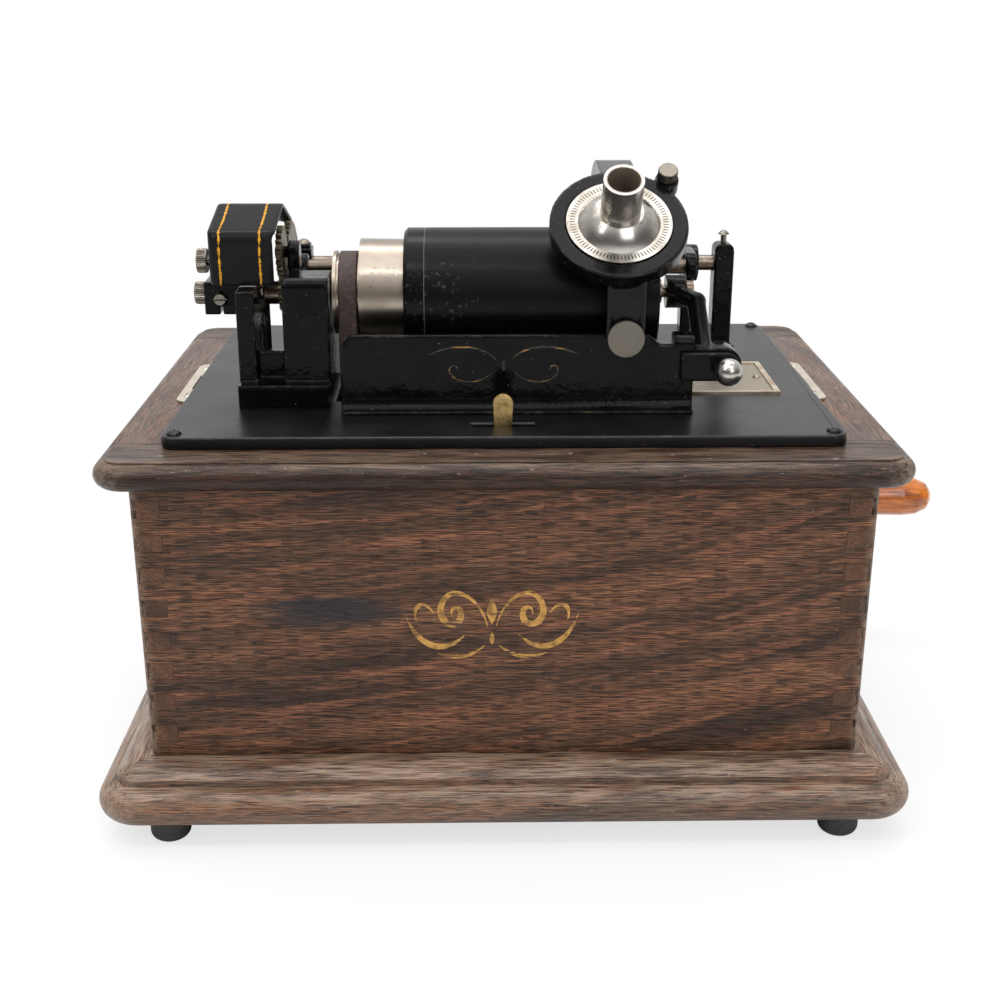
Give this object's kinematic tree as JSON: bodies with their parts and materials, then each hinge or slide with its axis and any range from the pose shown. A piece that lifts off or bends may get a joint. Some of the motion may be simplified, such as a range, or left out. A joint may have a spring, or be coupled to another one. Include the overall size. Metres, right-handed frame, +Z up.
{
  "type": "cylinder phonograph",
  "caption": "Spring-driven cylinder phonograph: oak case, iron bedplate, belt-driven mandrel with wax record, swinging reproducer carriage, end gate and side crank.",
  "frame": {"origin": "on the floor under the middle of the case", "axes": "+X towards the winding crank, +Y towards the back, +Z up"},
  "size_m": [0.407, 0.26, 0.2738],
  "materials": {
    "oak": "dark fumed oak, satin",
    "pine": "plain board",
    "japan": "black japan over cast iron",
    "nickel": "worn nickel plate",
    "steel": "turned steel",
    "brass": "turned brass",
    "rubber": "black rubber",
    "wax": "black moulded wax",
    "leather": "brown belt leather",
    "grip": "varnished hardwood",
    "composition": "black composition"
  },
  "bodies": {
    "case": {"base_front": "oak", "base_back": "oak", "base_left": "oak", "base_right": "oak", "bottom_board": "pine", "feet": "rubber", "front_board": "oak", "back_board": "oak", "left_board": "oak", "right_board": "oak", "rim_front": "oak", "rim_back": "oak", "rim_left": "oak", "rim_right": "oak", "catch_plates": "nickel", "catch_screws": "nickel", "bedplate": "japan", "bedplate_screws": "japan", "name_plate": "nickel", "gear_standard": "japan", "straight_edge": "japan", "gate_bracket": "japan", "rear_post_right": "japan", "rear_post_left": "japan", "back_rod": "steel", "rod_screws": "nickel", "gear_cover": "japan", "pivot_screw": "nickel", "standard_screws": "nickel", "feed_bearing": "japan", "drive_belt": "leather", "lever_pivot": "steel", "motor_frame": "steel"},
    "mandrel": {"mandrel_shaft": "steel", "mandrel_drum": "nickel", "mandrel_pulley": "nickel", "mandrel_gear": "brass", "record": "wax"},
    "idler": {"idler_gear": "brass"},
    "feed": {"feed_screw": "steel", "feed_gear": "brass"},
    "drive": {"drive_arbor": "brass"},
    "middle": {"middle_arbor": "brass"},
    "barrel": {"spring_barrel": "brass"},
    "governor": {"governor": "brass"},
    "carriage": {"carriage_sleeve": "japan"},
    "arm": {"carriage_arm": "japan", "reproducer_plate": "nickel", "reproducer_neck": "nickel", "reproducer_body": "composition"},
    "thumbscrew": {"thumbscrew": "nickel"},
    "lift": {"lift_lever": "nickel"},
    "weight": {"stylus_weight": "brass"},
    "gate": {"end_gate": "japan", "gate_centre": "nickel"},
    "knob": {"gate_knob": "nickel"},
    "starter": {"start_lever": "brass"},
    "crank": {"winding_crank": "steel"},
    "grip": {"crank_grip": "grip"}
  },
  "joints": [
    {"name": "mandrel_spin", "type": "hinge", "parent": "case", "child": "mandrel", "pos_m": [0, -0.023, 0.215], "axis": [1, 0, 0], "continuous": true},
    {"name": "idler_spin", "type": "hinge", "parent": "case", "child": "idler", "pos_m": [0, -0.01906, 0.23205], "axis": [1, 0, 0], "continuous": true},
    {"name": "feed_spin", "type": "hinge", "parent": "case", "child": "feed", "pos_m": [0, 0.00901, 0.22013], "axis": [1, 0, 0], "continuous": true},
    {"name": "drive_spin", "type": "hinge", "parent": "case", "child": "drive", "pos_m": [0, -0.023, 0.14178], "axis": [1, 0, 0], "continuous": true},
    {"name": "middle_spin", "type": "hinge", "parent": "case", "child": "middle", "pos_m": [0, -0.00734, 0.10634], "axis": [1, 0, 0], "continuous": true},
    {"name": "barrel_spin", "type": "hinge", "parent": "case", "child": "barrel", "pos_m": [0, 0.03, 0.075], "axis": [1, 0, 0], "continuous": true},
    {"name": "governor_spin", "type": "hinge", "parent": "case", "child": "governor", "pos_m": [0, -0.05354, 0.13067], "axis": [1, 0, 0], "continuous": true},
    {"name": "carriage_slide", "type": "slide", "parent": "case", "child": "carriage", "axis": [1, 0, 0], "range_m": [-0.088, 0.004]},
    {"name": "arm_lift", "type": "hinge", "parent": "carriage", "child": "arm", "pos_m": [0, 0.045, 0.215], "axis": [-1, 0, 0], "range_deg": [0, 50]},
    {"name": "thumb_turn", "type": "hinge", "parent": "arm", "child": "thumbscrew", "pos_m": [0.0692, -0.03165, 0.26461], "axis": [0, -0.6293, 0.7771], "continuous": true},
    {"name": "lift_turn", "type": "hinge", "parent": "arm", "child": "lift", "pos_m": [0.0499, 0, 0.2102], "axis": [0, 1, 0], "range_deg": [0, 90]},
    {"name": "weight_float", "type": "hinge", "parent": "arm", "child": "weight", "pos_m": [0, -0.03079, 0.24845], "axis": [-1, 0, 0], "range_deg": [0, 2]},
    {"name": "gate_swing", "type": "hinge", "parent": "case", "child": "gate", "pos_m": [0.092, 0, 0.192], "axis": [0, 1, 0], "range_deg": [0, 100]},
    {"name": "knob_turn", "type": "hinge", "parent": "case", "child": "knob", "pos_m": [0.092, 0, 0.192], "axis": [0, 1, 0], "continuous": true},
    {"name": "start_swing", "type": "hinge", "parent": "case", "child": "starter", "pos_m": [-0.0006, -0.045, 0.1725], "axis": [0, 0, 1], "range_deg": [-10, 10]},
    {"name": "crank_turn", "type": "hinge", "parent": "case", "child": "crank", "pos_m": [0, 0.03, 0.075], "axis": [1, 0, 0], "continuous": true},
    {"name": "grip_spin", "type": "hinge", "parent": "crank", "child": "grip", "pos_m": [0, 0.09194, 0.0777], "axis": [1, 0, 0], "continuous": true}
  ],
  "couplings": [
    {"joint": "idler_spin", "follows": "mandrel_spin", "ratio": -0.66667},
    {"joint": "feed_spin", "follows": "mandrel_spin", "ratio": 0.35},
    {"joint": "drive_spin", "follows": "mandrel_spin", "ratio": 0.8},
    {"joint": "middle_spin", "follows": "mandrel_spin", "ratio": -0.23333},
    {"joint": "barrel_spin", "follows": "mandrel_spin", "ratio": 0.051042},
    {"joint": "governor_spin", "follows": "mandrel_spin", "ratio": -2.1714}
  ]
}
